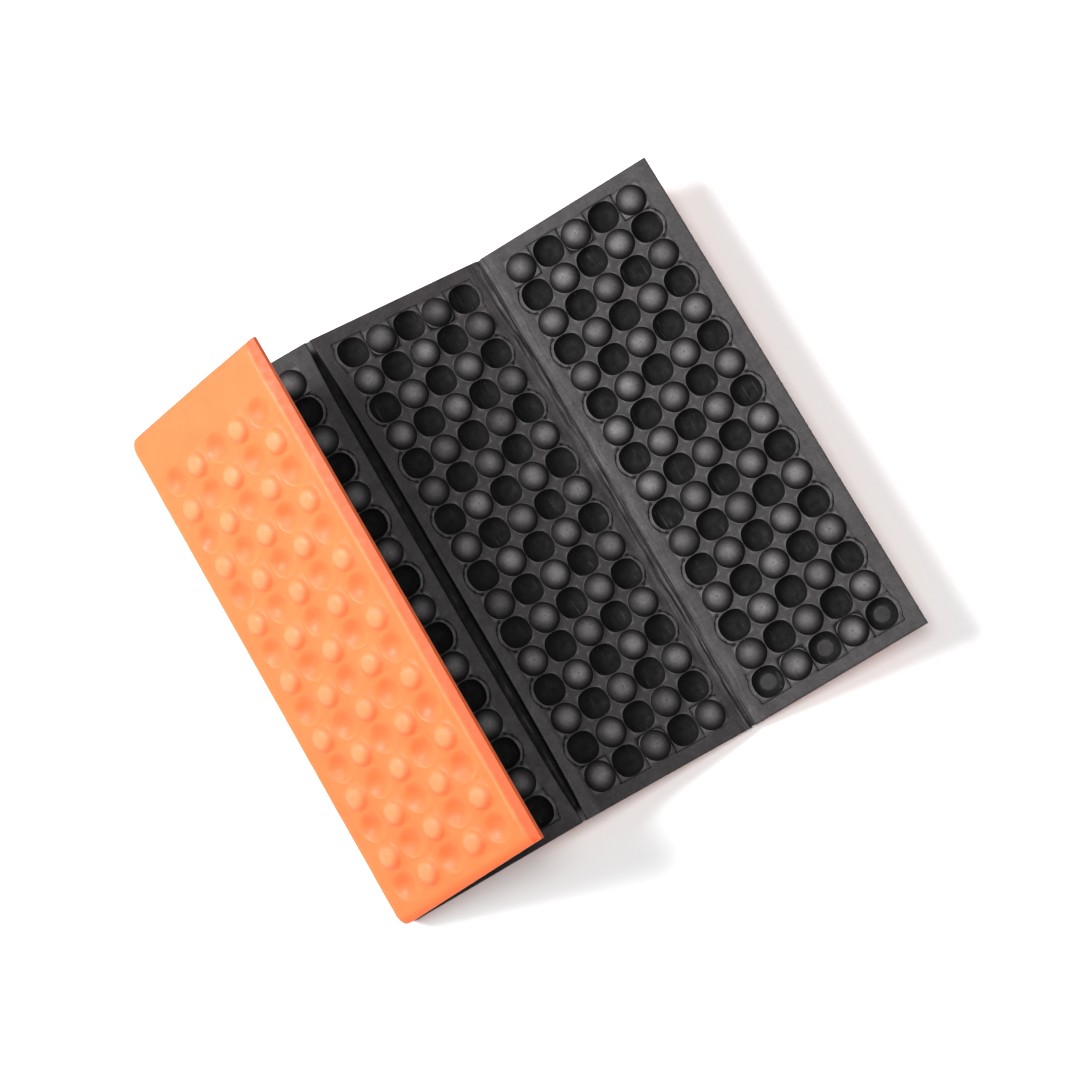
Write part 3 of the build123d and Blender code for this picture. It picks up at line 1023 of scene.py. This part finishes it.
# ---- crease strips ----------------------------------------------------------------------
def crease_strip(name, left, right, half_width, low, high, tone, seed):
    """A thin closed strip over a crease; each half is drawn on its own panel."""
    across = np.linspace(-1, 1, STRIP_LINES_ACROSS)
    reach = HALF_LENGTH - STRIP_END
    along = np.linspace(-reach, reach, STRIP_LINES_ALONG)
    s, v = np.meshgrid(across, along, indexing="ij")
    s, v = s.ravel(), v.ravel()
    wrinkle = noise(s * 2.2 + seed, v / 9, seed) * (1 - s**2)
    sheets = []
    for level, sag in ((high(v), -STRIP_SAG), (low(v), STRIP_SAG / 2)):
        lift = level + sag * (1 - s**2) + STRIP_WRINKLE * wrinkle
        distance = np.abs(s) * half_width(v)
        on_left = np.stack([PANEL_WIDTH - distance, v, lift], 1)
        on_right = np.stack([distance, v, lift], 1)
        sheets.append(np.where(s[:, None] < 0, left.place(on_left), right.place(on_right)))
    count = len(s)
    n = np.arange(count).reshape(len(across), len(along))
    up = np.stack([n[:-1, :-1], n[1:, :-1], n[1:, 1:], n[:-1, 1:]], 2).reshape(-1, 4)
    over = rim_loop(n)
    under = over + count
    walls = np.stack([under, np.roll(under, -1), np.roll(over, -1), over], 1)
    quads = np.concatenate([up, up[:, ::-1] + count, walls])
    tones = np.tile(tone(s, v) + WRINKLE_TONE * wrinkle, 2)
    return make_mesh(name, np.concatenate(sheets), quads, np.zeros((0, 3), int), tones)


def level_at(height):
    return lambda v: height + v * 0


def filled_ends(floor_level, end_level):
    """The floor of the bc groove, which comes up to the black face near both ends."""
    start = HALF_LENGTH - GROOVE_END - 2.5
    return lambda v: floor_level + (end_level - floor_level) * smooth_step(np.abs(v), start, start + 4)


def plain_tone(s, v):
    return STRIP_TONE + s * 0


def groove_shade(s, v):
    """Dark with painted shade, lighter along the middle of the floor towards the low end of v, and
    plain skin where the groove is filled.
    """
    end = HALF_LENGTH - GROOVE_END
    filled = smooth_step(np.abs(v), end - 1.5, end)
    lighter_below = GROOVE_FLOOR_LINE_TONE * np.exp(-((s / 0.2) ** 2)) * smooth_step(-v, -60, 90)
    # painted shade across the groove, except the lighter line and the filled ends
    return np.maximum(lighter_below, WEB * filled)


# For each colour, the levels of a strip's lower and upper side.
SLIT_CREASE = {
    "half_width": level_at(SLIT_HALF + 0.25),
    "black": (level_at(1.72), level_at(TOP - 0.16)),
    "orange": (level_at(1.3), level_at(1.68)),
    "tone": plain_tone,
}
GROOVE_CREASE = {
    "half_width": lambda v: groove_shape(v) + 0.3,
    "black": (level_at(BOTTOM + 0.62), filled_ends(BOTTOM + 1.25, TOP - 0.15)),
    "orange": (level_at(BOTTOM + 0.08), level_at(BOTTOM + 0.58)),
    "tone": groove_shade,
}
CREASES = {"ab": SLIT_CREASE, "bc": GROOVE_CREASE, "cd": SLIT_CREASE}


def finish_piece(piece, material, nodes):
    piece.data.materials.append(material)
    if nodes:
        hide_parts(*nodes)


def build_panels():
    for panel in PANELS.values():
        for make, material, slot in (
            (black_ply, BLACK, "black_foam"),
            (orange_ply, ORANGE, "orange_foam"),
        ):
            piece = make(panel)
            finish_piece(piece, material, [f"{panel.body}_{slot}"])
            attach(piece, panel.body)


def build_creases():
    for seed, (name, crease) in enumerate(CREASES.items(), start=2):
        left, right = (PANELS[key] for key in name)
        webs = [f"crease_{name}_web_on_{key}" for key in name]
        main_slot = "orange_foam" if name == "bc" else "black_foam"
        for colour, material in (("black", BLACK), ("orange", ORANGE)):
            slot = f"{colour}_foam"
            piece = crease_strip(
                f"crease_{name}_{colour}_web", left, right, crease["half_width"],
                *crease[colour], crease["tone"], seed,
            )
            finish_piece(piece, material, webs if slot == main_slot else [])
            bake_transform(piece)


build_panels()
build_creases()


# ---- floor, light and camera --------------------------------------------------------------
FLOOR_REACH = 6.0
LIGHT_TARGET = (0, 0, 0.02)
WORLD_STRENGTH = 0.24
LENS = 89.67
CAMERA_PLACE = (-0.20452, -0.20533, 1.29068)
CAMERA_TURNS = (12.2463, -3.6231, -30.0839)     # degrees


def build_floor():
    size = FLOOR_REACH
    mesh = bpy.data.meshes.new("floor")
    corners = [(-size, -size, 0), (size, -size, 0), (size, size, 0), (-size, size, 0)]
    mesh.from_pydata(corners, [], [(0, 1, 2, 3)])
    floor = bpy.data.objects.new("floor", mesh)
    bpy.context.scene.collection.objects.link(floor)
    shader = Shader("pale_floor")
    shader.surface.inputs["Base Color"].default_value = (0.93, 0.93, 0.93, 1)
    shader.surface.inputs["Roughness"].default_value = 0.9
    shader.surface.inputs["Specular IOR Level"].default_value = 0.1
    mesh.materials.append(shader.material)


def area_light(name, location, width, power):
    data = bpy.data.lights.new(name, "AREA")
    data.shape = "SQUARE"
    data.size = width
    data.energy = power
    light = bpy.data.objects.new(name, data)
    light.location = location
    aim = Vector(LIGHT_TARGET) - Vector(location)
    light.rotation_euler = aim.to_track_quat("-Z", "Y").to_euler()
    bpy.context.scene.collection.objects.link(light)


def build_light():
    world = bpy.data.worlds.new("studio")
    world.use_nodes = True
    background = world.node_tree.nodes["Background"]
    background.inputs["Color"].default_value = (1, 1, 1, 1)
    background.inputs["Strength"].default_value = WORLD_STRENGTH
    bpy.context.scene.world = world
    area_light("key", (-0.98, 0.6, 0.95), width=0.5, power=38)
    area_light("top", (-0.3, 0.0, 1.7), width=0.6, power=16)
    area_light("fill", (0.9, -0.8, 1.1), width=1.2, power=5)


def build_camera():
    data = bpy.data.cameras.new("camera")
    data.lens = LENS
    data.sensor_width = 36
    camera = bpy.data.objects.new("camera", data)
    camera.location = CAMERA_PLACE
    camera.rotation_euler = Euler([math.radians(turn) for turn in CAMERA_TURNS])
    bpy.context.scene.collection.objects.link(camera)
    bpy.context.scene.camera = camera


build_floor()
build_light()
build_camera()
bpy.context.scene.view_settings.view_transform = "Standard"
